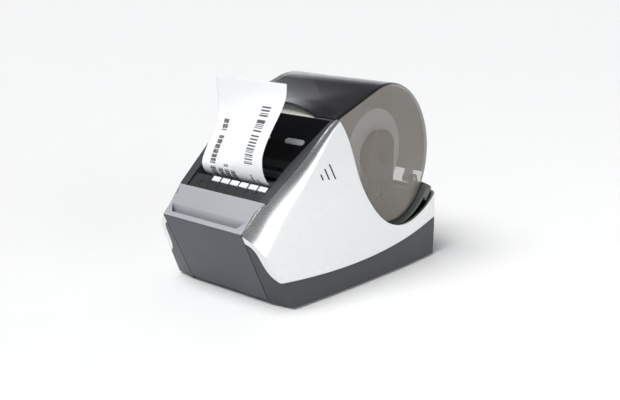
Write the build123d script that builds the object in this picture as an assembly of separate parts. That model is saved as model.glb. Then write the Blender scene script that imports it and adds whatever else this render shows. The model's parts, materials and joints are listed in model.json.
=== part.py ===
from build123d import *
import math
import os

# Desktop label printer. Millimetres, X across, front towards -Y, Z up, feet at Z = 0.

# Casing
HALF_WIDTH = 66.5
FRONT_Y = -101.5
REAR_Y = 101.5
CASE_BOTTOM = 1.5
WALL = 2.0
BASE_WALL = 2.6
SEAM = 0.3
MARK_DEPTH = 0.9
REAR_CORNER = 10.0
LIP_Z = 56.8
UNDERCUT = 0.515
CORNER_SWEEP = 0.2
COVER_HALF = 36.4
KINK_Y = -84.0
KINK_Z = 72.5
APEX_Y = -17.0
APEX_Z = 123.0
APEX_X = 47.8
GAP_X = 36.7
SIDE_LEAN = 0.09
SHOULDER_FRONT = 30.0
SHOULDER_APEX = 3.0
REAR_PANEL_HALF = 54.6
REAR_PANEL_TOP = 54.0
FRONT_HINGE_Y = -69.0
FRONT_HINGE_Z = 8.0

# Smoked roll cover
DRUM_Y = 48.5
DRUM_Z = 89.0
DRUM_R = 53.0
COVER_WALL = 2.2
DISC_X = 58.6
DISC_LEAN = 0.075
COVER_APEX_Z = 123.6
HINGE_Y = 94.5
HINGE_Z = 60.0
PIN_R = 1.5
RUN_FIT = 0.05
ARCH_HALF = 29.0
ARCH_RISE = 5.5
ARCH_BASE_Z = 122.6

# Label roll and spool
ROLL_Y = 56.0
ROLL_Z = 84.0
ROLL_R = 36.0
ROLL_HALF = 31.0
CORE_R = 12.5
STUB_R = 8.0
WEB_T = 0.2
WEB_GAP = 0.15
GUIDE_GAP = 2.25

# Platen, print head and cutter
PLATEN_Y = -48.0
PLATEN_Z = 77.0
PLATEN_R = 6.0
SHAFT_R = 2.5
CHASSIS_X = 36.2
PLATE_T = 1.2
NIP_ANGLE = 250.0
EXIT_ANGLE = 230.0
HEAD_PIVOT = (-26.0, 60.0)

# Gears
MODULE = 0.8
PINION_TEETH = 14
IDLER_TEETH = 46
PLATEN_TEETH = 26
MESH_ROOM = 0.12
MOTOR_Y = -45.0
MOTOR_Z = 26.0
GEAR_X = 38.6
GEAR_W = 4.0
CUT_MODULE = 0.6
CUT_TEETH = 12
RACK_START = -22.4

# Control panel
PANEL_FRONT_Y = -56.0
PILL_X = 27.3
PILL_Y = -37.2
PILL_L = 16.6
PILL_W = 4.8
SEGMENT_COUNT = 6
SEGMENT_PITCH = 8.55
SEGMENT_START = -17.3


def save(name, shape):
    export_step(shape, f"parts/{name}.step")


def box(x0, x1, y0, y1, z0, z1):
    middle = Pos((x0 + x1) / 2, (y0 + y1) / 2, (z0 + z1) / 2)
    return middle * Box(x1 - x0, y1 - y0, z1 - z0)


def rod(x0, x1, y, z, r):
    return Pos((x0 + x1) / 2, y, z) * Rot(0, 90, 0) * Cylinder(r, x1 - x0)


def post(x, y, z0, z1, r):
    return Pos(x, y, (z0 + z1) / 2) * Cylinder(r, z1 - z0)


def side_prism(outline, x0, x1):
    """Solid with an outline of (y, z), from x0 to x1."""
    return extrude(Plane.YZ.offset(x0) * make_face(outline), x1 - x0)


def side_plate(points, x0, x1):
    return side_prism(Polyline(*points, close=True), x0, x1)


def front_plate(outline, y0, y1):
    """Solid with an outline of (x, z), from y0 to y1."""
    plane = Plane(origin=(0, y1, 0), x_dir=(1, 0, 0), z_dir=(0, -1, 0))
    return extrude(plane * make_face(outline), y1 - y0)


def plan_plate(points, z0, z1):
    return extrude(Pos(0, 0, z0) * make_face(Polyline(*points, close=True)), z1 - z0)


def mirrored(shape):
    return mirror(shape, about=Plane.YZ)


def both(shape):
    return shape + mirrored(shape)


def polar(y, z, r, degrees):
    return (y + r * math.cos(math.radians(degrees)), z + r * math.sin(math.radians(degrees)))


# ---------------------------------------------------------------- casing surfaces

def side_x(y, z):
    """Half width of the casing: bowed in plan, leaning in towards the top."""
    return 60.83 + 0.0725 * y - 0.000349 * y * y - SIDE_LEAN * (z - 20)


def front_y(z):
    return FRONT_Y + UNDERCUT * (LIP_Z - z)


def top_z(y):
    ledge_slope = (KINK_Z - LIP_Z + 0.3) / (KINK_Y - FRONT_Y)
    panel_slope = (APEX_Z - KINK_Z) / (APEX_Y - KINK_Y)
    if y < KINK_Y:
        return KINK_Z + ledge_slope * (y - KINK_Y)
    return KINK_Z + panel_slope * (min(y, APEX_Y) - KINK_Y)


def gap_x(y):
    """Line along which the silver side meets the top."""
    run = (min(y, APEX_Y) - FRONT_Y) / (APEX_Y - FRONT_Y)
    return GAP_X + (APEX_X - GAP_X) * run


def casing_section(y, inset):
    run = max(0.0, (APEX_Y - y) / (APEX_Y - FRONT_Y))
    depth = SHOULDER_APEX + (SHOULDER_FRONT - SHOULDER_APEX) * run
    top = top_z(y) - inset
    low = CASE_BOTTOM + inset
    bottom = (side_x(y, low) - inset, low)
    shoulder = (side_x(y, top - depth) - inset, top - depth)
    crest = (gap_x(y), top)
    edges = Line((0, low), bottom) + Line(bottom, shoulder)
    edges += TangentArc([shoulder, crest], tangent=(-SIDE_LEAN, 1))
    edges += Line(crest, (0, top)) + Line((0, top), (0, low))
    plane = Plane(origin=(0, y, 0), x_dir=(1, 0, 0), z_dir=(0, -1, 0))
    return plane * make_face(edges)


def front_cutter(inset):
    """Everything ahead of the undercut front, with its swept-back corners."""
    low = -10.0
    y0 = front_y(low) + inset
    swept = y0 + CORNER_SWEEP * (80 - COVER_HALF)
    points = [(-80, swept), (-COVER_HALF, y0), (COVER_HALF, y0), (80, swept), (80, -220), (-80, -220)]
    face = Pos(0, 0, low) * make_face(Polyline(*points, close=True))
    return extrude(face, 120, dir=(0, -UNDERCUT, 1))


def casing(inset):
    stations = [-104, -84, -62, -40, APEX_Y, 25, 65, 104]
    half = loft([casing_section(y, inset) for y in stations])
    length = 260
    plan = Pos(0, REAR_Y - inset - length / 2, 0) * RectangleRounded(
        2 * (HALF_WIDTH - inset), length, REAR_CORNER - inset)
    return both(half) & extrude(plan, 160) - front_cutter(inset)


def seam_region(lift):
    """Below the long curved seam on the sides, and inside the seam on the front corners."""
    side = Spline((-85, 21.4 + lift), (-35, 18 + lift), (40, 20.5 + lift), (103, 32 + lift))
    side += Polyline((103, 32 + lift), (103, -5), (-85, -5), (-85, 21.4 + lift))
    front = Spline((52.6 + lift, 21.2 + lift), (46.6 + lift, 26.4 + lift), (43.6 + lift, 37 + lift),
                   (40.9 + lift, 46.4 + lift), (36.6, 49.6 + lift))
    front += Polyline((36.6, 49.6 + lift), (0, 49.6 + lift), (0, -5), (75, -5), (75, 21.2 + lift),
                      (52.6 + lift, 21.2 + lift))
    return side_prism(side, -80, 80) + both(front_plate(front, -125, -79))


def scoop_region(grow):
    """Above the scooped edge of the side, where the round cover shows."""
    heights = [(-8.8, 110.6), (3.7, 76.1), (13.2, 59.8), (24.4, 47), (38, 38), (55.7, 34.2), (81.7, 39.8),
               (94, 45.8), (104, 55)]
    lowered = [(y, z - grow) for y, z in heights]
    edge = Spline((-17 - grow, 123), *lowered)
    edge += Polyline(lowered[-1], (104, 160), (-17 - grow, 160), (-17 - grow, 123))
    return side_prism(edge, -80, 80)


def gap_plan(grow):
    """Plan of the top and rear openings between the two silver sides."""
    right = [(GAP_X + grow, -130), (GAP_X + grow, -87.3), (gap_x(-81.2) + 1.2 + grow, -81.2),
             (APEX_X + grow, APEX_Y), (APEX_X + grow, 60), (REAR_PANEL_HALF + grow, 60),
             (REAR_PANEL_HALF + grow, 130)]
    left = [(-x, y) for x, y in reversed(right)]
    return right + left


# ---------------------------------------------------------------- casing parts

def base_housing(outer, region):
    skin = outer - casing(BASE_WALL)
    wall = skin & region
    wall -= box(-COVER_HALF - 0.6, COVER_HALF + 0.6, -130, -64, -1, 140)
    rear = skin & box(-REAR_PANEL_HALF, REAR_PANEL_HALF, 90, 110, 0, REAR_PANEL_TOP)
    ear = rod(42.3, 45.7, HINGE_Y, HINGE_Z, 4) + side_plate(
        [(HINGE_Y - 4, HINGE_Z), (HINGE_Y + 4, HINGE_Z), (101, 53), (101, 44), (91, 50)], 42.3, 45.7)
    lug = rod(33.4, 36.0, FRONT_HINGE_Y, FRONT_HINGE_Z, 3.7)
    lug += side_plate([(-69, 11.7), (-58, 11.7), (-58, 3), (-63.8, 3), (-66.3, 5.4)], 33.4, 36.0)
    result = wall + rear + both(ear) + both(lug & casing(1.0))
    result -= rod(-46, 46, HINGE_Y, HINGE_Z, PIN_R)
    result -= rod(-38, 38, FRONT_HINGE_Y, FRONT_HINGE_Z, PIN_R)
    result -= box(-43, -27, 96, 110, 9.8, 19.2)
    result -= box(-11, 1, 96, 110, 9.5, 20.5)
    for x, y in screw_places():
        result -= post(x, y, 0, 6, 1.7)
        result -= post(x, y, 0, 3.1, 3.2)
    return result


def side_shell(outer):
    skin = outer - casing(WALL)
    shell = skin & box(20, 80, -130, 130, 0, 150)
    shell -= seam_region(SEAM)
    shell -= seam_region(0)
    shell -= scoop_region(0)
    shell -= plan_plate(gap_plan(0.2), -5, 170)
    return max(shell.solids(), key=lambda s: s.volume)


def mark_bars(band):
    """Three slanted bars of growing length, inlaid in the right side."""
    bars = []
    for y, low, high in ((-36.2, 83.8, 88.0), (-30.2, 83.2, 91.4), (-23.8, 82.6, 94.0)):
        lean = 0.5 * (high - low)
        outline = [(y - lean, high), (y - lean + 1.5, high), (y + 1.5, low), (y, low)]
        inner = side_x(y, high) - 3.3
        bars.append(side_plate(outline, inner, inner + 6) & band)
    return bars


def roll_cradle(inner):
    """Trough under the round cover, with its side ledges and rear deck."""
    ring = rod(-59, 59, DRUM_Y, DRUM_Z, DRUM_R + 3.4) - rod(-60, 60, DRUM_Y, DRUM_Z, DRUM_R + 1.4)
    centre = (DRUM_Y, DRUM_Z)
    low = side_plate([centre, polar(*centre, 90, -45), polar(*centre, 110, -90), polar(*centre, 90, -130)],
                     -70, 70)
    trough = ring & low & inner
    deck = side_plate([(86.5, 50.2), (98.6, 50.2), (98.6, 52.0), (87.8, 52.0)], -50, 50)
    deck -= both(box(41.9, 46.1, 89, 110, 49, 54))
    return trough + (deck & inner) + both(cradle_horn())


def cradle_horn():
    """Rounded end of the trough, rising behind the right disc of the cover."""
    centre = (DRUM_Y, DRUM_Z)
    ring = rod(46.6, 62, *centre, 61) - rod(46, 63, *centre, DRUM_R + 1.4)
    sector = side_plate([centre, polar(*centre, 90, -33.5), polar(*centre, 90, -46)], 46.6, 62)
    edge = Spline((46, 59.8), (53, 59.4), (58, 56), (60.6, 48))
    edge += Polyline((60.6, 48), (60.6, 30), (46, 30), (46, 59.8))
    return ring & sector & front_plate(edge, 80, 98.7) & casing(WALL + 0.3)


def top_frame():
    """Sloping rails at both sides of the panel, joined by a bridge under its front edge."""
    plan = [(34.5, -81.0), (40.6, -81.0), (APEX_X - 0.3, APEX_Y - 0.4), (44.2, APEX_Y - 0.4), (35.6, -58)]
    bar = plan_plate(plan, 50, 140)
    slab = panel_slab(-3.2, 0)
    wall = plan_plate([(34.5, -81.0), (35.9, -81.0), (37.0, -58), (35.6, -58)], 50, 140)
    wall &= panel_slab(-9, -1)
    bridge = plan_plate([(-36.5, -57), (36.5, -57), (38, -53), (-38, -53)], 50, 140) & panel_slab(-6.5, -3.2)
    return both((bar & slab) + wall) + bridge


def panel_plane():
    slope = math.atan2(APEX_Z - KINK_Z, APEX_Y - KINK_Y)
    return Plane(origin=(0, PILL_Y, top_z(PILL_Y)), x_dir=(1, 0, 0),
                 z_dir=(0, -math.sin(slope), math.cos(slope)))


def panel_slab(low, high):
    """Sloping layer between two depths below the top of the panel."""
    return panel_plane() * Pos(0, 0, (low + high) / 2) * Box(200, 200, high - low)


def pill(grow, low, high):
    slot = SlotOverall(PILL_L + 2 * grow, PILL_W + 2 * grow)
    return extrude(panel_plane() * Pos(PILL_X, 0, low) * slot, high - low)


def control_panel():
    plan = [(-35.3, PANEL_FRONT_Y), (35.3, PANEL_FRONT_Y), (43.9, APEX_Y - 0.6), (-43.9, APEX_Y - 0.6)]
    panel = plan_plate(plan, 50, 140) & panel_slab(-3.1, -0.8)
    panel -= both(pill(0.25, -6, 6))
    panel -= extrude(panel_plane() * Pos(0, 0, -6) * SlotOverall(10.2, 1.7), 12)
    return panel


def button():
    return pill(0, -4.6, -0.1) + pill(1.4, -4.6, -3.6)


def status_lens():
    return extrude(panel_plane() * Pos(0, 0, -5) * SlotOverall(10.0, 1.5), 4.3)


def button_board():
    return panel_plane() * Pos(0, 0, -9.2) * Box(72, 22, 1.6)


def tact_switches():
    one = panel_plane() * Pos(PILL_X, 0, -7.4) * Box(6, 6, 2.0)
    stem = panel_plane() * Pos(PILL_X, 0, -6.0) * Cylinder(1.6, 0.8)
    return Compound(children=[one + stem, mirrored(one + stem)])


def thumb_recess():
    """Crescent plate behind the arched lip of the cover."""
    plate = side_plate([(-16.6, 121.8), (-5, 129.5), (-5, 127.5), (-16.6, 119.8)], -28, 28)
    return plate & arch_bar(-0.9, -18, -4)


def compartment_wall():
    return box(-44, 44, -13.4, -11.8, 68, 118)


# ---------------------------------------------------------------- roll cover

def arch_bar(grow, y0, y1):
    radius = (ARCH_HALF ** 2 + ARCH_RISE ** 2) / (2 * ARCH_RISE)
    z = ARCH_BASE_Z + ARCH_RISE - radius
    bar = Pos(0, (y0 + y1) / 2, z) * Rot(90, 0, 0) * Cylinder(radius + grow, y1 - y0)
    return bar & box(-40, 40, y0, y1, 112, 150)


def cover_body(inset):
    radius = DRUM_R - inset
    apex = (APEX_Y, COVER_APEX_Z - 1.05 * inset)
    dy = DRUM_Y - apex[0]
    dz = DRUM_Z - apex[1]
    turn = math.degrees(math.atan2(dz, dy) + math.asin(radius / math.hypot(dy, dz)))
    touch = polar(DRUM_Y, DRUM_Z, radius, turn + 90)
    wedge = side_plate([apex, touch, (DRUM_Y, DRUM_Z), (0, 60), (APEX_Y, 60)], -60, 60)
    body = rod(-60, 60, DRUM_Y, DRUM_Z, radius) + wedge
    return body - beyond_discs(inset)


def beyond_discs(inset):
    """Everything outside the two leaning side discs of the cover."""
    side = Plane(origin=(DISC_X - inset, 0, 0), z_dir=(1, 0, DISC_LEAN))
    outside = extrude(side * Rectangle(400, 400), 60)
    return both(outside)


def hinge_lug():
    web = side_plate([(HINGE_Y - 3, HINGE_Z), polar(DRUM_Y, DRUM_Z, DRUM_R - 1.5, -16),
                      polar(DRUM_Y, DRUM_Z, DRUM_R - 0.6, -19), (HINGE_Y + 3.2, HINGE_Z + 1)], 36, 42)
    return rod(36, 42, HINGE_Y, HINGE_Z, 3.5) + web


def roll_cover():
    outer = cover_body(0)
    rims = [e for e in outer.edges().filter_by(GeomType.LINE, reverse=True) if e.length > 60]
    outer = fillet(rims, 2.0)
    cover = outer - cover_body(COVER_WALL)
    open_side = side_plate([(DRUM_Y, DRUM_Z), polar(DRUM_Y, DRUM_Z, 70, -25), (112, 0), (-60, 0), (-60, 115.5)],
                           -60, 60)
    cover -= open_side - beyond_discs(COVER_WALL)
    cover &= scoop_region(-0.7)
    cover += arch_bar(COVER_WALL, APEX_Y, 6) & box(-31.6, 31.6, APEX_Y, 6, 121, 140)
    cover -= arch_bar(0, APEX_Y - 5, 5)
    cover += both(hinge_lug())
    cover -= rod(-46, 46, HINGE_Y, HINGE_Z, PIN_R + RUN_FIT)
    return max(cover.solids(), key=lambda s: s.volume)


def cover_pins():
    pin = rod(35.5, 45.7, HINGE_Y, HINGE_Z, PIN_R)
    return Compound(children=[pin, mirrored(pin)])


# ---------------------------------------------------------------- front cover

def front_panel():
    outline = [(front_y(3.4), 3.4), (front_y(LIP_Z - 0.2), LIP_Z - 0.2), (front_y(LIP_Z) + 2.6, LIP_Z - 0.2),
               (front_y(6.5) + 2.6, 6.5), (front_y(3.4) + 2.6, 3.4)]
    panel = side_plate(outline, -COVER_HALF, COVER_HALF)
    lug = rod(28, 32.8, FRONT_HINGE_Y, FRONT_HINGE_Z, 3.2) + side_plate(
        [(-69, 4.8), (front_y(4.8) + 1, 4.8), (front_y(16) + 1, 16), (front_y(16) + 4, 16), (-69, 11.2)], 28, 32.8)
    panel += both(lug)
    return panel - rod(-40, 40, FRONT_HINGE_Y, FRONT_HINGE_Z, PIN_R + RUN_FIT)


def ledge():
    """Light ledge over the front panel, with a finger recess behind its lip."""
    thick = 2.4
    low = (FRONT_Y + 0.1, LIP_Z)
    high = (-81.6, top_z(-81.6))
    outline = [low, (FRONT_Y + 0.6, LIP_Z + 0.9), (-84, top_z(-84)), high, (high[0], high[1] - thick),
               (-83.4, top_z(-83.4) - thick), (-98.2, LIP_Z)]
    plate = side_plate(outline, -41, 41)
    plan = [(-COVER_HALF, -110), (COVER_HALF, -110), (COVER_HALF, -87.5), (39.9, -81.6), (39.9, -80),
            (-39.9, -80), (-39.9, -81.6), (-COVER_HALF, -87.5)]
    plate &= plan_plate(plan, 40, 90)
    tray = plan_plate(recess_plan(1.6), 40, 90) & side_plate(
        [(-99.8, 57), (-93.0, 64.6), (-90.4, 60.6), (-90.4, 54.2), (-99.8, 54.2)], -41, 41)
    hollow = plan_plate(recess_plan(0), 40, 90) & side_plate(
        [(-105, 56), (-93, 70), (-92.0, 61.5), (-92.0, 55.8), (-101, 55.8)], -41, 41)
    return plate + tray - hollow - front_panel()


def recess_plan(grow):
    return [(-34.4 - grow, -94.3 + grow), (34.4 + grow, -94.3 + grow), (30.6 + grow, -99.0 - grow * 0.6),
            (-30.6 - grow, -99.0 - grow * 0.6)]


def front_pins():
    pin = rod(27.2, 36.0, FRONT_HINGE_Y, FRONT_HINGE_Z, PIN_R)
    return Compound(children=[pin, mirrored(pin)])


# ---------------------------------------------------------------- label path

def web_angle():
    """Angle at which the label touches both the roll and the platen."""
    dy = ROLL_Y - PLATEN_Y
    dz = ROLL_Z - PLATEN_Z
    spread = math.degrees(math.acos((ROLL_R - PLATEN_R) / math.hypot(dy, dz)))
    return math.degrees(math.atan2(dz, dy)) + spread + 180


def label_web():
    down = web_angle()
    inner = PLATEN_R + WEB_GAP
    outer = inner + WEB_T
    wrap = rod(-ROLL_HALF, ROLL_HALF, PLATEN_Y, PLATEN_Z, outer)
    wrap -= rod(-ROLL_HALF - 1, ROLL_HALF + 1, PLATEN_Y, PLATEN_Z, inner)
    wrap &= side_plate([(PLATEN_Y, PLATEN_Z), polar(PLATEN_Y, PLATEN_Z, 12, down),
                        polar(PLATEN_Y, PLATEN_Z, 12, EXIT_ANGLE)], -40, 40)
    run = side_plate([polar(PLATEN_Y, PLATEN_Z, inner, down), polar(PLATEN_Y, PLATEN_Z, outer, down),
                      polar(ROLL_Y, ROLL_Z, ROLL_R + 0.25 + WEB_T, down),
                      polar(ROLL_Y, ROLL_Z, ROLL_R + 0.25, down)], -ROLL_HALF, ROLL_HALF)
    tail = side_plate([exit_point(0, inner), exit_point(0, outer), exit_point(5, outer), exit_point(5, inner)],
                      -ROLL_HALF, ROLL_HALF)
    return wrap + run + tail


def exit_point(along, radius):
    y, z = polar(PLATEN_Y, PLATEN_Z, radius, EXIT_ANGLE)
    angle = math.radians(EXIT_ANGLE)
    return (y + along * math.sin(angle), z - along * math.cos(angle))


def printed_label():
    start = exit_point(8, PLATEN_R + 0.25)
    path = [start, (-64.3, 82.2), (-69.2, 88.2), (-70.8, 95.2), (-68.3, 102.5), (-62.2, 111.5),
            (-56.4, 121.5), (-52.8, 131.5), (-51.7, 140.5), (-52.6, 149)]
    front = [(y - 0.25, z - 0.1) for y, z in path]
    outline = Spline(*path) + Line(path[-1], front[-1]) + Spline(*reversed(front)) + Line(front[0], path[0])
    return side_prism(outline, -ROLL_HALF, ROLL_HALF)


def label_roll():
    roll = rod(-ROLL_HALF, ROLL_HALF, ROLL_Y, ROLL_Z, ROLL_R)
    return roll - rod(-40, 40, ROLL_Y, ROLL_Z, CORE_R)


def spool_core():
    return rod(-35, 35, ROLL_Y, ROLL_Z, CORE_R) - rod(-36, 36, ROLL_Y, ROLL_Z, STUB_R + RUN_FIT)


def spool_flange(sign):
    low = min(sign * 31.2, sign * 32.6)
    flange = rod(low, low + 1.4, ROLL_Y, ROLL_Z, 19)
    return flange - rod(low - 1, low + 3, ROLL_Y, ROLL_Z, CORE_R)


def roll_holder():
    """Arched plate that stands in the cradle and carries one end of the spool."""
    foot = 34
    plate = side_plate([(38, foot), (74, foot), (72.5, ROLL_Z + 4), (39.5, ROLL_Z + 4)], 36.6, 39.0)
    plate &= rod(30, 50, DRUM_Y, DRUM_Z, DRUM_R + 1.3)
    plate += rod(36.6, 39.0, ROLL_Y, ROLL_Z + 4, 16.6)
    plate += rod(33.6, 36.8, ROLL_Y, ROLL_Z, STUB_R)
    window = rod(30, 45, ROLL_Y, ROLL_Z, 4.5)
    slot = side_plate([(50, 46), (62, 46), (60, 66), (52, 66)], 30, 45)
    return plate - window - slot


def exit_guide():
    """Ribbed chute lip under the label exit."""
    outline = [(-80.4, 73.2), (-70.4, 81.2), (-67.6, 80.0), (-67.6, 78.0), (-70.2, 79.0), (-79.4, 71.2),
               (-79.4, 60), (-80.4, 60)]
    guide = side_plate(outline, -34, 34)
    for i in range(-1, SEGMENT_COUNT):
        x = SEGMENT_START + i * SEGMENT_PITCH
        rib = side_plate([(-80.2, 72.6), (-80.2, 74.0), (-74.4, 78.9), (-73.4, 78.4)], x - 0.6, x + 0.6)
        guide += rib
    guide += side_plate([(-77.6, 75.0), (-77.6, 76.1), (-76.8, 76.8), (-76.8, 75.6)], -34, 34)
    return guide


def light_segments():
    outline = [(-73.6, 78.7), (-73.9, 79.6), (-71.0, 81.9), (-70.7, 81.05)]
    pads = []
    for i in range(SEGMENT_COUNT):
        x = SEGMENT_START + (i + 0.5) * SEGMENT_PITCH
        pads.append(side_plate(outline, x - 3.6, x + 3.6))
    return Compound(children=pads)


def platen_roller():
    return rod(-32, 32, PLATEN_Y, PLATEN_Z, PLATEN_R) - rod(-33, 33, PLATEN_Y, PLATEN_Z, SHAFT_R)


def platen_shaft():
    return rod(-38.6, 43.6, PLATEN_Y, PLATEN_Z, SHAFT_R)


def platen_bushes():
    bush = rod(CHASSIS_X - 1.0, CHASSIS_X + PLATE_T + 1.0, PLATEN_Y, PLATEN_Z, 4.5)
    bush -= rod(30, 45, PLATEN_Y, PLATEN_Z, SHAFT_R + RUN_FIT)
    return Compound(children=[bush, mirrored(bush)])


def gear(teeth, module, width, bore):
    """Spur gear about Z with one tooth centred on +X."""
    pitch = math.pi * module
    pitch_r = teeth * module / 2
    root_r = pitch_r - 1.15 * module
    tip_r = pitch_r + 0.8 * module
    tooth = Polyline((root_r - 0.4, -0.30 * pitch), (pitch_r, -0.20 * pitch), (tip_r, -0.10 * pitch),
                     (tip_r, 0.10 * pitch), (pitch_r, 0.20 * pitch), (root_r - 0.4, 0.30 * pitch), close=True)
    face = Circle(root_r) + [Rot(0, 0, 360 / teeth * i) * make_face(tooth) for i in range(teeth)]
    return extrude(face - Circle(bore), width)


def gear_on_x(teeth, module, width, bore, x, y, z, turn):
    """Gear about X, its first tooth at turn degrees from +Y towards +Z."""
    place = Plane(origin=(x, y, z), x_dir=(0, 1, 0), z_dir=(1, 0, 0))
    return place * Rot(0, 0, turn) * gear(teeth, module, width, bore)


def gear_train():
    """Centres and tooth angles of the pinion, idler and platen gear."""
    first = (PINION_TEETH + IDLER_TEETH) * MODULE / 2 + MESH_ROOM
    second = (IDLER_TEETH + PLATEN_TEETH) * MODULE / 2 + MESH_ROOM
    dy = PLATEN_Y - MOTOR_Y
    dz = PLATEN_Z - MOTOR_Z
    span = math.hypot(dy, dz)
    opening = math.acos((first ** 2 + span ** 2 - second ** 2) / (2 * first * span))
    to_idler = math.degrees(math.atan2(dz, dy) - opening)
    idler = polar(MOTOR_Y, MOTOR_Z, first, to_idler)
    idler_turn = to_idler + 180 + 180 / IDLER_TEETH
    to_platen = math.degrees(math.atan2(PLATEN_Z - idler[1], PLATEN_Y - idler[0]))
    lead = (to_platen - idler_turn) % (360 / IDLER_TEETH)
    platen_turn = to_platen + 180 + lead * IDLER_TEETH / PLATEN_TEETH + 180 / PLATEN_TEETH
    return to_idler, idler, idler_turn, platen_turn


def exit_frame():
    """Frame at the cutter: X across, Z through the label, -Y along its travel."""
    y, z = exit_point(0, PLATEN_R + 0.25)
    angle = math.radians(EXIT_ANGLE)
    return Plane(origin=(0, y, z), x_dir=(1, 0, 0), z_dir=(0, -math.cos(angle), -math.sin(angle)))


def cut_box(x0, x1, s0, s1, n0, n1):
    """Box in the cutter frame: s along the label's travel, n towards its back."""
    local = Pos((x0 + x1) / 2, -(s0 + s1) / 2, (n0 + n1) / 2) * Box(x1 - x0, s1 - s0, n1 - n0)
    return exit_frame() * local


def fixed_blade():
    return cut_box(-CHASSIS_X, CHASSIS_X, 6.5, 7.5, 0.8, 6.5)


def moving_blade():
    blade = cut_box(-34.5, 34.5, 5.4, 6.4, -10, -1.2)
    arm = cut_box(-43, -34.0, 5.0, 6.4, -10, -6.5)
    rack = cut_box(-43, -39.5, 4.4, 6.4, -24, -6.5)
    pitch = math.pi * CUT_MODULE
    for i in range(7):
        n = RACK_START + i * pitch
        tooth = [cut_point(4.6, n - 0.28 * pitch), cut_point(3.3, n - 0.12 * pitch),
                 cut_point(3.3, n + 0.12 * pitch), cut_point(4.6, n + 0.28 * pitch)]
        rack += side_plate(tooth, -43, -39.5)
    return blade + arm + rack


def cut_point(s, n):
    """(y, z) at s along the label's travel and n towards its back."""
    y, z = exit_point(s, PLATEN_R + 0.25)
    angle = math.radians(EXIT_ANGLE)
    return (y - n * math.cos(angle), z - n * math.sin(angle))


def cutter_centre():
    """Axis of the cutter pinion, in (y, z)."""
    pitch = math.pi * CUT_MODULE
    return cut_point(3.85 - CUT_TEETH * CUT_MODULE / 2 - 0.1, RACK_START + 3 * pitch)


def cutter_pinion():
    y, z = cutter_centre()
    turn = EXIT_ANGLE - 90 + 180 / CUT_TEETH
    wheel = gear_on_x(CUT_TEETH, CUT_MODULE, 3.0, 1.0, -42.8, y, z, turn)
    return wheel + rod(-42.8, -35.4, y, z, 1.0)


def cutter_motor():
    y, z = cutter_centre()
    body = rod(-35.2, -12, y, z, 6) - rod(-36, -34, y, z, 1.06)
    return body - rod(-35.5, -26, y, z, 1.06)


def feed_motor():
    can = rod(4, 35.8, MOTOR_Y, MOTOR_Z, 13)
    return can - rod(25, 40, MOTOR_Y, MOTOR_Z, 1.56)


def motor_pinion():
    wheel = gear_on_x(PINION_TEETH, MODULE, GEAR_W, 1.5, GEAR_X, MOTOR_Y, MOTOR_Z, gear_train()[0])
    return wheel + rod(26, GEAR_X + GEAR_W, MOTOR_Y, MOTOR_Z, 1.5)


def idler_gear():
    to_idler, centre, turn, _ = gear_train()
    return gear_on_x(IDLER_TEETH, MODULE, GEAR_W, 2.0 + RUN_FIT, GEAR_X, *centre, turn)


def idler_axle():
    centre = gear_train()[1]
    return rod(CHASSIS_X + PLATE_T, 43.6, *centre, 2.0)


def platen_gear():
    turn = gear_train()[3]
    return gear_on_x(PLATEN_TEETH, MODULE, GEAR_W, SHAFT_R, GEAR_X, PLATEN_Y, PLATEN_Z, turn)


def head_frame():
    y, z = polar(PLATEN_Y, PLATEN_Z, PLATEN_R, NIP_ANGLE)
    angle = math.radians(NIP_ANGLE)
    return Plane(origin=(0, y, z), x_dir=(1, 0, 0), z_dir=(0, -math.cos(angle), -math.sin(angle)))


def print_head():
    ceramic = head_frame() * Pos(0, 0, -1.15) * Box(66, 9, 1.0)
    sink = head_frame() * Pos(0, 0, -3.15) * Box(66, 12, 3.0)
    for i in range(6):
        fin = head_frame() * Pos(0, -5 + 2 * i, -5.4) * Box(58, 0.8, 1.6)
        sink += fin
    return ceramic + sink


def head_bracket():
    """Sheet steel carrier that swings the print head against the platen."""
    y, z = HEAD_PIVOT
    shelf = head_frame() * Pos(0, 1.5, -6.8) * Box(69, 17, 1.2)
    cheek = side_plate([(-53, 64.5), (-51, 66.5), (y - 3, z + 3.5), (y + 3, z + 2), (y + 2, z - 3), (y - 6, z - 3.4)],
                       33.4, 34.5)
    result = shelf + both(cheek)
    return result - rod(-40, 40, y, z, PIN_R + RUN_FIT)


def head_pivot_rod():
    return rod(-38.4, 38.4, *HEAD_PIVOT, PIN_R)


def head_springs():
    height = 14.6
    coil = Helix(pitch=height / 5, height=height, radius=3.0)
    wire = Plane(origin=coil @ 0, z_dir=coil % 0) * Circle(0.35)
    spring = sweep(wire, path=coil)
    low = Pos(22, -49, 47.5) * spring
    return Compound(children=[low, mirrored(low)])


def chassis_frame():
    """Folded steel frame: two side plates and the shelf between them."""
    plate = side_plate([(-66, 8), (-12, 8), (-12, 50), (-20, 66), (-20, 94), (-32, 90), (-54, 83), (-60, 76), (-66, 70)],
                       CHASSIS_X, CHASSIS_X + PLATE_T)
    shelf = box(-CHASSIS_X, CHASSIS_X, -56, -36, 45.8, 47.0)
    foot = box(CHASSIS_X, 47.5, -66, -56, 6.8, 8.0) + box(CHASSIS_X, 47.5, -22, -12, 6.8, 8.0)
    frame = both(plate + foot) + shelf
    frame -= rod(-50, 50, PLATEN_Y, PLATEN_Z, 4.5)
    frame -= rod(-50, 50, *HEAD_PIVOT, PIN_R)
    frame -= rod(30, 50, MOTOR_Y, MOTOR_Z, 3)
    frame -= rod(-50, -30, *cutter_centre(), 3)
    frame -= cut_box(-50, -30, 3.0, 8.4, -12.5, 0.5)
    frame -= post(43, -61, 0, 12, 1.6) + post(-43, -61, 0, 12, 1.6)
    frame -= post(43, -17, 0, 12, 1.6) + post(-43, -17, 0, 12, 1.6)
    return frame


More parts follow.
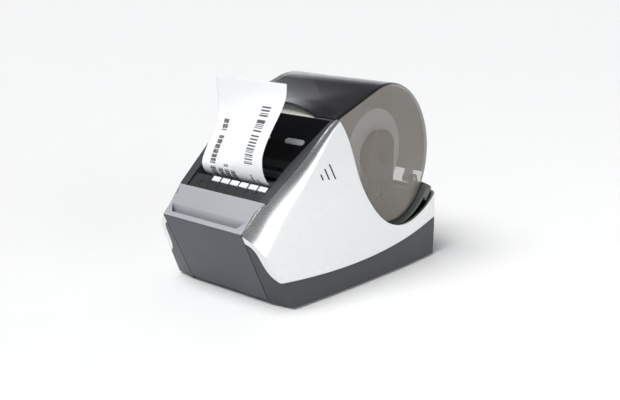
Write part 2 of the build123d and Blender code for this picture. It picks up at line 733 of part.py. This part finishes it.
def chassis_screws():
    screws = []
    for x in (-43, 43):
        for y in (-61, -17):
            screws.append(post(x, y, 4.2, 8.0, 1.5) + post(x, y, 8.0, 9.8, 2.8))
    return Compound(children=screws)


def web_guide():
    """Smooth plate below the label between the roll and the print head."""
    down = web_angle()
    start = Vector(*polar(PLATEN_Y, PLATEN_Z, PLATEN_R + GUIDE_GAP, down))
    end = Vector(*polar(ROLL_Y, ROLL_Z, ROLL_R + GUIDE_GAP, down))
    front = start + (end - start) * 0.42
    back = start + (end - start) * 0.66
    outline = [(front.X, front.Y), (back.X, back.Y), (back.X - 0.4, back.Y - 1.6), (front.X - 0.4, front.Y - 1.6)]
    return side_plate(outline, -46, 46)


def label_sensor():
    return Pos(0, -17, 57.0) * Box(12, 8, 3.4)


def main_board():
    return box(-48, 46, 0, 84, 12, 13.6)


def board_chips():
    chips = [box(-20, -4, 20, 36, 13.6, 15.2), box(10, 20, 24, 38, 13.6, 15.0)]
    chips.append(box(28, 40, 60, 68, 13.6, 22))
    for x in (-40, -32, 2):
        chips.append(post(x, 60, 13.6, 25, 4))
    return Compound(children=chips)


def board_posts():
    posts = [post(x, y, 4.1, 12, 2.8) for x in (-44, 42) for y in (5, 78)]
    return Compound(children=posts)


def power_inlet():
    body = box(-43.5, -26.5, 86, 98.7, 9, 20)
    body += box(-42.8, -27.2, 98.7, REAR_Y - 0.6, 10.0, 19.0)
    body -= box(-41.5, -28.5, 89, 110, 11, 18)
    for x in (-37.5, -32.5):
        body += Pos(x, 93.4, 14.5) * Rot(90, 0, 0) * Cylinder(1.0, 9)
    return body


def usb_socket():
    body = box(-11.6, 1.6, 84.5, 98.7, 8.9, 21.1) + box(-10.8, 0.8, 98.7, REAR_Y - 0.6, 9.7, 20.3)
    body -= box(-9.8, -0.2, 88, 110, 10.7, 19.3)
    body += box(-7.6, -2.4, 87.5, 97, 13.2, 16.4)
    return body


def foot_places():
    return [(-44, -56), (44, -56), (-52, 86), (52, 86)]


def screw_places():
    return [(-50, -30), (50, -30), (-54, 60), (54, 60)]


def rubber_feet():
    return Compound(children=[post(x, y, 0, CASE_BOTTOM, 6.5) for x, y in foot_places()])


def case_screws():
    return Compound(children=[post(x, y, 1.7, 3.0, 2.9) + post(x, y, 3.0, 11, 1.5) for x, y in screw_places()])


def screw_bosses():
    bosses = []
    for x, y in screw_places():
        bosses.append(post(x, y, 4.1, 12, 3.4) - post(x, y, 4, 13, 1.55))
    return bosses


def build():
    outer = casing(0)
    inner = casing(BASE_WALL + 0.1)
    marks = mark_bars(outer - casing(MARK_DEPTH))
    right = side_shell(outer)
    for mark in marks:
        right -= mark
    base = base_housing(outer, seam_region(0))
    for boss in screw_bosses():
        base += boss
    save("base_housing", max(base.solids(), key=lambda s: s.volume))
    save("right_side_shell", right)
    save("left_side_shell", mirrored(right))
    save("side_marks", Compound(children=marks + [mirrored(m) for m in marks]))
    save("roll_cradle", roll_cradle(inner))
    save("top_frame", top_frame())
    save("control_panel", control_panel())
    save("thumb_recess", thumb_recess())
    save("compartment_wall", compartment_wall())
    save("power_button", button())
    save("feed_button", mirrored(button()))
    save("status_lens", status_lens())
    save("button_board", button_board())
    save("tact_switches", tact_switches())
    save("roll_cover", roll_cover())
    save("cover_hinge_pins", cover_pins())
    save("front_panel", front_panel())
    save("front_ledge", ledge())
    save("front_cover_pins", front_pins())
    save("label_web", label_web())
    save("printed_label", printed_label())
    save("label_roll", label_roll())
    save("spool_core", spool_core())
    save("spool_flange_left", spool_flange(-1))
    save("spool_flange_right", spool_flange(1))
    save("roll_holder_right", roll_holder())
    save("roll_holder_left", mirrored(roll_holder()))
    save("exit_guide", exit_guide())
    save("light_segments", light_segments())
    save("platen_roller", platen_roller())
    save("platen_shaft", platen_shaft())
    save("platen_bushes", platen_bushes())
    save("platen_gear", platen_gear())
    save("idler_gear", idler_gear())
    save("idler_axle", idler_axle())
    save("motor_pinion", motor_pinion())
    save("feed_motor", feed_motor())
    save("fixed_blade", fixed_blade())
    save("moving_blade", moving_blade())
    save("cutter_pinion", cutter_pinion())
    save("cutter_motor", cutter_motor())
    save("print_head", print_head())
    save("head_bracket", head_bracket())
    save("head_pivot_rod", head_pivot_rod())
    save("head_springs", head_springs())
    save("chassis_frame", chassis_frame())
    save("chassis_screws", chassis_screws())
    save("web_guide", web_guide())
    save("label_sensor", label_sensor())
    save("main_board", main_board())
    save("board_chips", board_chips())
    save("board_posts", board_posts())
    save("power_inlet", power_inlet())
    save("usb_socket", usb_socket())
    save("rubber_feet", rubber_feet())
    save("case_screws", case_screws())


os.makedirs("parts", exist_ok=True)
build()
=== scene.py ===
import json
import math

import bmesh
import bpy
from mathutils import Matrix, Vector

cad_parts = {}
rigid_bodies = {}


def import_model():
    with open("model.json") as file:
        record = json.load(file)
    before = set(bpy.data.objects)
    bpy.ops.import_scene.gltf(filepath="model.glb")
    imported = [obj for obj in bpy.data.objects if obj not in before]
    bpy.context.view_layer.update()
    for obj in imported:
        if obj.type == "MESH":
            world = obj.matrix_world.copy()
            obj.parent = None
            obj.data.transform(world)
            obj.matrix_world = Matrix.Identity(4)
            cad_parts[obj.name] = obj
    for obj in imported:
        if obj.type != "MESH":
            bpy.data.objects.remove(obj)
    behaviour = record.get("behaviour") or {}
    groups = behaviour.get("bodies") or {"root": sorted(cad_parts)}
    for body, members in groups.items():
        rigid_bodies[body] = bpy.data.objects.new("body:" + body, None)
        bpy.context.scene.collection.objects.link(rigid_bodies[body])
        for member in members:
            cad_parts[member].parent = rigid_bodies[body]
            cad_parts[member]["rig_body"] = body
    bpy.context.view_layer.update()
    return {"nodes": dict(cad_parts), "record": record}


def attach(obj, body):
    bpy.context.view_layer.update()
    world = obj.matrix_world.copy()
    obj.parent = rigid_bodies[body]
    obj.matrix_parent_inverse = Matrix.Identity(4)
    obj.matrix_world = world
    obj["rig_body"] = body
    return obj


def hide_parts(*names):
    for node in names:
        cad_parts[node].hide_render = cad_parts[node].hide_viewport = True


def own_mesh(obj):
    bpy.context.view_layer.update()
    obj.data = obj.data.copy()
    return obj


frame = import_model()
MM = 0.001

# View of the printer: degrees, millimetres.
CAMERA_TURN = 38.136
CAMERA_TILT = 15.375
CAMERA_ROLL = 1.229
CAMERA_LENS = 50.8
CAMERA_PLACE = (403.19, -496.91, 229.07)

# Studio: floor width in metres, sun strength and angular width, sky brightness low and high.
FLOOR_WIDTH = 24
SUN_STRENGTH = 2.8
SUN_WIDTH = 40
SUN_TRAVEL = (0.15, 0.50, -0.87)
SKY_HORIZON = 1.05
SKY_ZENITH = 0.08

LABEL_WIDTH = 62
SMOOTH_MERGE = 2e-6
FLAT_ANGLE = 0.6
BEVEL_ANGLE = 32


# ------------------------------------------------------------------ camera and studio

def set_camera():
    """Three-quarter view from the front right, a little above the printer."""
    turn = math.radians(CAMERA_TURN)
    tilt = math.radians(CAMERA_TILT)
    roll = math.radians(CAMERA_ROLL)
    forward = Vector((-math.sin(turn) * math.cos(tilt), math.cos(turn) * math.cos(tilt), -math.sin(tilt)))
    right = Vector((math.cos(turn), math.sin(turn), 0))
    up = right.cross(forward)
    across = right * math.cos(roll) + up * math.sin(roll)
    upward = up * math.cos(roll) - right * math.sin(roll)
    data = bpy.data.cameras.new("view")
    data.lens = CAMERA_LENS
    data.clip_start = 0.01
    camera = bpy.data.objects.new("view", data)
    rotation = Matrix((across, upward, -forward)).transposed()
    camera.matrix_world = Matrix.Translation(Vector(CAMERA_PLACE) * MM) @ rotation.to_4x4()
    bpy.context.collection.objects.link(camera)
    bpy.context.scene.camera = camera


def add_light(name, place, target, width, height, power):
    data = bpy.data.lights.new(name, "AREA")
    data.shape = "RECTANGLE"
    data.size = width
    data.size_y = height
    data.energy = power
    light = bpy.data.objects.new(name, data)
    aim = Vector(target) - Vector(place)
    light.rotation_euler = aim.to_track_quat("-Z", "Y").to_euler()
    light.location = place
    bpy.context.collection.objects.link(light)


def floor_point(u, v):
    return (FLOOR_WIDTH * (u - 0.5), FLOOR_WIDTH * (v - 0.5), 0)


def set_studio():
    """Bright surroundings near the horizon, a dim zenith, and one broad light from above the front."""
    world = bpy.data.worlds.new("studio")
    world.use_nodes = True
    nodes = world.node_tree.nodes
    links = world.node_tree.links
    split = nodes.new("ShaderNodeSeparateXYZ")
    links.new(nodes.new("ShaderNodeTexCoord").outputs["Generated"], split.inputs[0])
    height = nodes.new("ShaderNodeMapRange")
    height.interpolation_type = "SMOOTHSTEP"
    limits = {"From Min": 0.15, "From Max": 0.62, "To Min": SKY_HORIZON, "To Max": SKY_ZENITH}
    for key, number in limits.items():
        height.inputs[key].default_value = number
    links.new(split.outputs["Z"], height.inputs["Value"])
    links.new(height.outputs[0], nodes["Background"].inputs["Strength"])
    nodes["Background"].inputs["Color"].default_value = (0.95, 0.97, 1.0, 1)
    bpy.context.scene.world = world
    bpy.context.scene.view_settings.view_transform = "Standard"
    sun = bpy.data.lights.new("sky_panel", "SUN")
    sun.energy = SUN_STRENGTH
    sun.angle = math.radians(SUN_WIDTH)
    panel = bpy.data.objects.new("sky_panel", sun)
    panel.rotation_euler = Vector(SUN_TRAVEL).to_track_quat("-Z", "Y").to_euler()
    bpy.context.collection.objects.link(panel)
    add_light("right_box", (0.95, -0.10, 0.30), (0.05, 0, 0.05), 0.6, 0.5, 2.5)
    floor = grid_piece("floor", floor_point, 1, 1)
    paint(floor, material("studio_floor", (0.97, 0.97, 0.97), 0.7, grain=40, grain_depth=0.02, spread=0.01))


# ------------------------------------------------------------------ node helpers

class Tree:
    """Short names for building a material's nodes."""

    def __init__(self, name):
        self.material = bpy.data.materials.new(name)
        self.material.use_nodes = True
        self.nodes = self.material.node_tree.nodes
        self.links = self.material.node_tree.links
        self.shader = self.nodes["Principled BSDF"]

    def add(self, kind, **settings):
        node = self.nodes.new(kind)
        for key, value in settings.items():
            setattr(node, key, value)
        return node

    def plug(self, source, target):
        if isinstance(source, (int, float)):
            target.default_value = source
        else:
            self.links.new(source, target)

    def math(self, operation, first, second=0.0):
        node = self.add("ShaderNodeMath", operation=operation)
        self.plug(first, node.inputs[0])
        self.plug(second, node.inputs[1])
        return node.outputs[0]

    def remap(self, value, low, high, to_low, to_high):
        node = self.add("ShaderNodeMapRange")
        self.plug(value, node.inputs["Value"])
        for key, number in (("From Min", low), ("From Max", high), ("To Min", to_low), ("To Max", to_high)):
            node.inputs[key].default_value = number
        return node.outputs[0]

    def noise(self, scale, detail=3.0, stretch=None, vector=None):
        if vector is None:
            vector = self.add("ShaderNodeTexCoord").outputs["Object"]
        if stretch:
            mapping = self.add("ShaderNodeMapping")
            mapping.inputs["Scale"].default_value = stretch
            self.plug(vector, mapping.inputs["Vector"])
            vector = mapping.outputs[0]
        node = self.add("ShaderNodeTexNoise")
        self.plug(vector, node.inputs["Vector"])
        node.inputs["Scale"].default_value = scale
        node.inputs["Detail"].default_value = detail
        return node.outputs["Fac"]

    def blend(self, factor, first, second):
        node = self.add("ShaderNodeMix", data_type="RGBA")
        self.plug(factor, node.inputs["Factor"])
        for socket, colour in ((node.inputs["A"], first), (node.inputs["B"], second)):
            if isinstance(colour, tuple):
                socket.default_value = (*colour, 1)
            else:
                self.plug(colour, socket)
        return node.outputs["Result"]

    def bump(self, height, strength, distance):
        node = self.add("ShaderNodeBump")
        node.inputs["Strength"].default_value = strength
        node.inputs["Distance"].default_value = distance
        self.plug(height, node.inputs["Height"])
        self.plug(node.outputs[0], self.shader.inputs["Normal"])


def shade(colour, factor):
    return tuple(min(1.0, c * factor) for c in colour)


def material(name, colour, roughness, metallic=0.0, grain=1800, grain_depth=0.15, spread=0.06, coat=0.0,
             wear=0.0, stretch=None, specular=0.5):
    """Moulded or metal surface: grain, uneven gloss, faint colour drift and lighter worn edges."""
    tree = Tree(name)
    drift = tree.noise(14, 4)
    surface = tree.blend(drift, shade(colour, 1 - spread), shade(colour, 1 + spread))
    if wear:
        edge = tree.add("ShaderNodeNewGeometry").outputs["Pointiness"]
        patch = tree.math("MULTIPLY", tree.remap(edge, 0.52, 0.60, 0, wear), tree.noise(160, 4))
        surface = tree.blend(patch, surface, shade(colour, 1.9))
    tree.plug(surface, tree.shader.inputs["Base Color"])
    grain_noise = tree.noise(grain, 3, stretch)
    smears = tree.math("MULTIPLY", tree.noise(30, 5), 0.6)
    smudge = tree.math("ADD", smears, tree.math("MULTIPLY", grain_noise, 0.4))
    tree.plug(tree.remap(smudge, 0.3, 0.7, max(0.02, roughness * 0.86), min(1, roughness * 1.14)),
              tree.shader.inputs["Roughness"])
    tree.shader.inputs["Metallic"].default_value = metallic
    tree.shader.inputs["Coat Weight"].default_value = coat
    tree.shader.inputs["Coat Roughness"].default_value = 0.1
    tree.shader.inputs["Specular IOR Level"].default_value = specular
    tree.bump(grain_noise, grain_depth, 0.00005)
    return tree.material


def smoked_plastic():
    """Smoked polycarbonate: darker round the barrel and clearer through the flat sides, which are painted
    warm and light as a painted glow of the lit roll behind them; the rounded band between barrel and sides
    is painted near-black as a painted dark edge line.
    """
    tree = Tree("smoked_plastic")
    split = tree.add("ShaderNodeSeparateXYZ")
    tree.plug(tree.add("ShaderNodeNewGeometry").outputs["Normal"], split.inputs[0])
    side = tree.remap(tree.math("ABSOLUTE", split.outputs["X"]), 0.55, 0.95, 0, 1)
    drift = tree.noise(9, 3)
    barrel = tree.blend(drift, (0.020, 0.020, 0.022), (0.030, 0.030, 0.032))
    # Painted light: the warm light colour of the flat sides is a painted glow of the lit paper roll seen
    # through them.
    disc_painted_glow = tree.blend(drift, (0.250, 0.222, 0.195), (0.300, 0.268, 0.235))
    # Painted shade: a near-black, nearly opaque band on the rounded rim between barrel and flat sides, a
    # painted dark edge line.
    rim_painted_shade = window(tree, tree.math("ABSOLUTE", split.outputs["X"]), 0.2, 0.93)
    # Facing mask: barrel colour on the rounded wall, painted glow colour on the flat sides.
    walls = tree.blend(side, barrel, disc_painted_glow)
    tree.plug(tree.blend(rim_painted_shade, walls, (0.008, 0.008, 0.010)), tree.shader.inputs["Base Color"])
    clear = tree.remap(side, 0, 1, 0.72, 0.38)
    tree.plug(tree.math("MAXIMUM", clear, tree.math("MULTIPLY", rim_painted_shade, 0.9)), tree.shader.inputs["Alpha"])
    tree.plug(tree.remap(tree.noise(40, 4), 0.3, 0.7, 0.10, 0.16), tree.shader.inputs["Roughness"])
    tree.shader.inputs["Coat Weight"].default_value = 0.4
    tree.shader.inputs["Coat Roughness"].default_value = 0.04
    tree.bump(tree.noise(60, 2), 0.05, 0.0003)
    return tree.material


def light_plastic():
    """Milky white plastic that light sinks into a little."""
    finish = material("light_plastic", (0.78, 0.81, 0.84), 0.22, coat=0.4, grain=900, grain_depth=0.05)
    shader = finish.node_tree.nodes["Principled BSDF"]
    shader.inputs["Subsurface Weight"].default_value = 0.3
    shader.inputs["Subsurface Radius"].default_value = (0.002, 0.002, 0.002)
    return finish


def circuit_material():
    """Green solder mask with fine copper tracks under it."""
    tree = Tree("circuit_board")
    point = tree.add("ShaderNodeTexCoord").outputs["Object"]
    brick = tree.add("ShaderNodeTexBrick")
    tree.plug(point, brick.inputs["Vector"])
    brick.inputs["Scale"].default_value = 260
    brick.inputs["Mortar Size"].default_value = 0.06
    brick.inputs["Color1"].default_value = (0.01, 0.09, 0.035, 1)
    brick.inputs["Color2"].default_value = (0.012, 0.11, 0.04, 1)
    brick.inputs["Mortar"].default_value = (0.05, 0.24, 0.09, 1)
    tree.plug(brick.outputs["Color"], tree.shader.inputs["Base Color"])
    tree.plug(tree.remap(tree.noise(80), 0.3, 0.7, 0.28, 0.4), tree.shader.inputs["Roughness"])
    tree.bump(brick.outputs["Fac"], 0.3, 0.00005)
    return tree.material


# Rows of text-like blocks on the label: centre and width across it, start and end along it, letter pitch.
TEXT_ROWS = [
    (0.17, 0.085, 0.0, 0.68, 0.040), (0.29, 0.075, 0.0, 0.27, 0.038), (0.39, 0.075, 0.0, 0.31, 0.038),
    (0.49, 0.075, 0.0, 0.28, 0.038), (0.78, 0.03, 0.04, 0.24, 0.018), (0.86, 0.03, 0.04, 0.19, 0.018),
]


def paper_material(name, printed):
    """Coated label paper; the printed one has rows of dark blocks and a bar pattern."""
    tree = Tree(name)
    fibre = tree.noise(900, 6)
    white = tree.blend(fibre, (0.74, 0.75, 0.77), (0.81, 0.81, 0.82))
    if printed:
        place = tree.add("ShaderNodeTexCoord").outputs["UV"]
        split = tree.add("ShaderNodeSeparateXYZ")
        tree.plug(place, split.inputs[0])
        across = split.outputs["X"]
        along = split.outputs["Y"]
        glyphs = tree.math("GREATER_THAN", tree.noise(52, 1, (1.4, 1.9, 1), place), 0.36)
        ink = None
        for row in TEXT_ROWS:
            block = tree.math("MULTIPLY", text_row(tree, across, along, *row), glyphs)
            ink = block if ink is None else tree.math("MAXIMUM", ink, block)
        bars = tree.math("GREATER_THAN", tree.noise(80, 0, (0.0, 1, 1), place), 0.5)
        code = tree.math("MULTIPLY", window(tree, across, 0.70, 0.84), window(tree, along, 0.34, 0.80))
        ink = tree.math("MAXIMUM", ink, tree.math("MULTIPLY", code, bars))
        white = tree.blend(tree.math("MULTIPLY", ink, 0.95), white, (0.035, 0.035, 0.04))
    tree.plug(white, tree.shader.inputs["Base Color"])
    tree.plug(tree.remap(fibre, 0.3, 0.7, 0.42, 0.55), tree.shader.inputs["Roughness"])
    tree.shader.inputs["Subsurface Weight"].default_value = 0.15
    tree.shader.inputs["Subsurface Radius"].default_value = (0.001, 0.001, 0.001)
    tree.bump(fibre, 0.1, 0.00004)
    return tree.material


def window(tree, value, low, high):
    return tree.math("MULTIPLY", tree.math("GREATER_THAN", value, low), tree.math("LESS_THAN", value, high))


def text_row(tree, across, along, centre, width, start, end, pitch):
    row = window(tree, across, centre - width / 2, centre + width / 2)
    row = tree.math("MULTIPLY", row, window(tree, along, start, end))
    phase = tree.math("FRACT", tree.math("DIVIDE", along, pitch))
    letters = tree.math("LESS_THAN", phase, 0.82)
    words = tree.math("LESS_THAN", tree.math("FRACT", tree.math("DIVIDE", along, pitch * 7.3)), 0.86)
    return tree.math("MULTIPLY", row, tree.math("MULTIPLY", letters, words))


# ------------------------------------------------------------------ mesh helpers

def grid_piece(name, at, columns, rows):
    """Mesh grid with a point at(u, v) for u and v from 0 to 1, and matching UVs."""
    mesh = bpy.data.meshes.new(name)
    points = [at(i / columns, j / rows) for j in range(rows + 1) for i in range(columns + 1)]
    faces = []
    for j in range(rows):
        for i in range(columns):
            a = j * (columns + 1) + i
            faces.append((a, a + 1, a + columns + 2, a + columns + 1))
    mesh.from_pydata(points, [], faces)
    layer = mesh.uv_layers.new(name="UVMap")
    for loop in mesh.loops:
        index = loop.vertex_index
        layer.data[loop.index].uv = (index % (columns + 1) / columns, index // (columns + 1) / rows)
    for face in mesh.polygons:
        face.use_smooth = True
    piece = bpy.data.objects.new(name, mesh)
    bpy.context.collection.objects.link(piece)
    return piece


def paint(piece, finish):
    piece.data.materials.clear()
    piece.data.materials.append(finish)


def refined(node, finish, edge, curved):
    """Copy of a CAD node with merged faces, rounded edges and smooth shading, in its place."""
    source = frame["nodes"][node]
    mesh = source.data.copy()
    mesh.name = node + "_finished"
    work = bmesh.new()
    work.from_mesh(mesh)
    bmesh.ops.remove_doubles(work, verts=work.verts, dist=SMOOTH_MERGE)
    if not curved:
        flat = math.radians(FLAT_ANGLE)
        bmesh.ops.dissolve_limit(work, angle_limit=flat, verts=work.verts, edges=work.edges)
    work.to_mesh(mesh)
    work.free()
    for face in mesh.polygons:
        face.use_smooth = True
    if "custom_normal" in mesh.attributes:
        mesh.attributes.remove(mesh.attributes["custom_normal"])
    piece = bpy.data.objects.new(node + "_finished", mesh)
    bpy.context.collection.objects.link(piece)
    paint(piece, finish)
    if edge:
        bevel = piece.modifiers.new("edges", "BEVEL")
        bevel.width = edge * MM
        bevel.segments = 2
        bevel.limit_method = "ANGLE"
        bevel.angle_limit = math.radians(BEVEL_ANGLE)
        bevel.use_clamp_overlap = True
        bevel.harden_normals = curved
    if not curved:
        normals = piece.modifiers.new("normals", "WEIGHTED_NORMAL")
        normals.keep_sharp = True
        normals.weight = 80
    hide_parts(node)
    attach(piece, frame["nodes"][node]["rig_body"])
    return piece


SLOTS = {part["node"]: part["material_slot"] for part in frame["record"]["subparts"]}


# ------------------------------------------------------------------ label

# Side view of each edge of the label, (y, z) in millimetres from the exit to its free end.
LEFT_EDGE = [(-58.2, 77.3), (-64.9, 81.7), (-68.3, 86.7), (-68, 91.7), (-63.6, 99.8), (-57.5, 109),
             (-53.3, 118.6), (-51.7, 128.5), (-52.6, 138.5), (-54.1, 148.9)]
RIGHT_EDGE = [(-58.2, 77.3), (-65.5, 81.3), (-71.5, 87.4), (-74.6, 95.2), (-74.4, 103.6), (-70.2, 112.3),
              (-63.6, 121.6), (-56.2, 131), (-51.2, 140), (-50.6, 148.9)]


def along_curve(points, t):
    """Point on a smooth curve through points, for t from 0 to 1."""
    place = t * (len(points) - 1)
    i = min(int(place), len(points) - 2)
    f = place - i
    p = [Vector(points[max(0, min(len(points) - 1, k))]) for k in (i - 1, i, i + 1, i + 2)]
    slope_a = (p[2] - p[0]) / 2
    slope_b = (p[3] - p[1]) / 2
    return ((2 * f ** 3 - 3 * f ** 2 + 1) * p[1] + (f ** 3 - 2 * f ** 2 + f) * slope_a
            + (-2 * f ** 3 + 3 * f ** 2) * p[2] + (f ** 3 - f ** 2) * slope_b)


def label_point(u, v):
    """Point of the label, u across it and v along it, cupped and twisted between its two edges."""
    left = along_curve(LEFT_EDGE, v)
    right = along_curve(RIGHT_EDGE, v)
    ease = u * u * (3 - 2 * u)
    side = left.lerp(right, 0.35 * u + 0.65 * ease)
    cup = 1.2 * math.sin(math.pi * u) * math.sin(math.pi * v)
    return (LABEL_WIDTH * (u - 0.5) * MM, (side.x + cup) * MM, side.y * MM)


def make_label(finish):
    """Printed label standing out of the exit, curled and a little twisted."""
    label = grid_piece("printed_label_sheet", label_point, 48, 90)
    thick = label.modifiers.new("paper", "SOLIDIFY")
    thick.thickness = 0.0002
    thick.offset = 0
    paint(label, finish)
    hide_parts("printed_label")
    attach(label, "printer_body")


# ------------------------------------------------------------------ finishes

silver = material("silver_paint", (0.78, 0.79, 0.795), 0.27, metallic=0.95, grain=2600, grain_depth=0.05,
                  spread=0.02, wear=0.2)
slate = material("slate_plastic", (0.033, 0.036, 0.041), 0.42, grain=1500, grain_depth=0.35, wear=0.5)
front_slate = material("front_slate", (0.036, 0.043, 0.053), 0.38, grain=1500, grain_depth=0.30, wear=0.5)
ledge_grey = material("ledge_grey", (0.34, 0.35, 0.37), 0.34, grain=1500, grain_depth=0.25, wear=0.4)
gloss_black = material("gloss_black", (0.004, 0.004, 0.005), 0.10, grain=70, grain_depth=0.02, specular=0.3)
button_grey = material("button_grey", (0.30, 0.32, 0.34), 0.35, grain=1500, grain_depth=0.2, wear=0.4)
inner_black = material("inner_black", (0.018, 0.018, 0.020), 0.42, grain=1500, grain_depth=0.3, wear=0.5)
cradle_grey = material("cradle_grey", (0.085, 0.092, 0.085), 0.38, grain=1300, grain_depth=0.25, wear=0.3)
steel = material("brushed_steel", (0.55, 0.56, 0.58), 0.28, metallic=1.0, grain=900, grain_depth=0.3,
                 stretch=(0.04, 1, 1))
rubber = material("rubber", (0.02, 0.02, 0.02), 0.75, grain=700, grain_depth=0.4)
acetal = material("moulded_acetal", (0.80, 0.79, 0.73), 0.38, grain=900, grain_depth=0.15)
ceramic = material("ground_ceramic", (0.70, 0.68, 0.62), 0.45, grain=2000, grain_depth=0.2)
part_black = material("component_black", (0.02, 0.02, 0.022), 0.5, grain=1600, grain_depth=0.3)
smoke = smoked_plastic()
light_parts = light_plastic()
circuit = circuit_material()
plain_paper = paper_material("roll_paper", False)
printed_paper = paper_material("printed_paper", True)

warm_silver = material("warm_silver_paint", (0.62, 0.60, 0.55), 0.34, metallic=0.2, grain=2000,
                       grain_depth=0.1)

# Finish for each material slot.
FINISH = {
    "silver_plastic": silver, "slate_plastic": slate, "cover_slate": front_slate,
    "ledge_grey": ledge_grey, "gloss_black": gloss_black, "smoke_clear": smoke,
    "grey_button": button_grey, "light_plastic": light_parts, "inner_black": inner_black,
    "cradle_grey": cradle_grey, "paper": plain_paper, "steel": steel, "rubber": rubber,
    "gear_plastic": acetal, "circuit_board": circuit, "component_black": part_black, "ceramic": ceramic,
}
# Width of the rounded edges in millimetres, where it isn't DEFAULT_EDGE, and the nodes with curved faces.
DEFAULT_EDGE = 0.15
EDGES = {
    "left_side_shell": 0.5, "right_side_shell": 0.5, "base_housing": 0.5, "front_panel": 0.5,
    "front_ledge": 0.5, "top_frame": 0.5, "control_panel": 0.25, "roll_cover": 0.35, "power_button": 0.4,
    "feed_button": 0.4, "thumb_recess": 0.3, "roll_cradle": 0.4, "exit_guide": 0.2,
    "light_segments": 0.25, "label_roll": 0.3, "spool_core": 0.4, "spool_flange_left": 0.3,
    "spool_flange_right": 0.3, "roll_holder_left": 0.5, "roll_holder_right": 0.5, "chassis_frame": 0.15,
    "rubber_feet": 0.3, "platen_gear": 0.1, "idler_gear": 0.1, "motor_pinion": 0.1, "feed_motor": 0.6,
    "cutter_motor": 0.4, "power_inlet": 0.3, "usb_socket": 0.2, "compartment_wall": 0.3, "web_guide": 0.3,
    "head_springs": 0, "platen_roller": 0.2, "fixed_blade": 0.1, "moving_blade": 0.1,
}

CURVED = {"left_side_shell", "right_side_shell", "base_housing", "roll_cover", "roll_cradle",
          "head_springs"}


def make_pieces():
    for node, slot in SLOTS.items():
        if node == "printed_label":
            continue
        finish = warm_silver if node == "thumb_recess" else FINISH[slot]
        piece = refined(node, finish, EDGES.get(node, DEFAULT_EDGE), node in CURVED)
        if node == "head_springs":
            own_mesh(piece)
    make_label(printed_paper)


set_camera()
set_studio()
make_pieces()
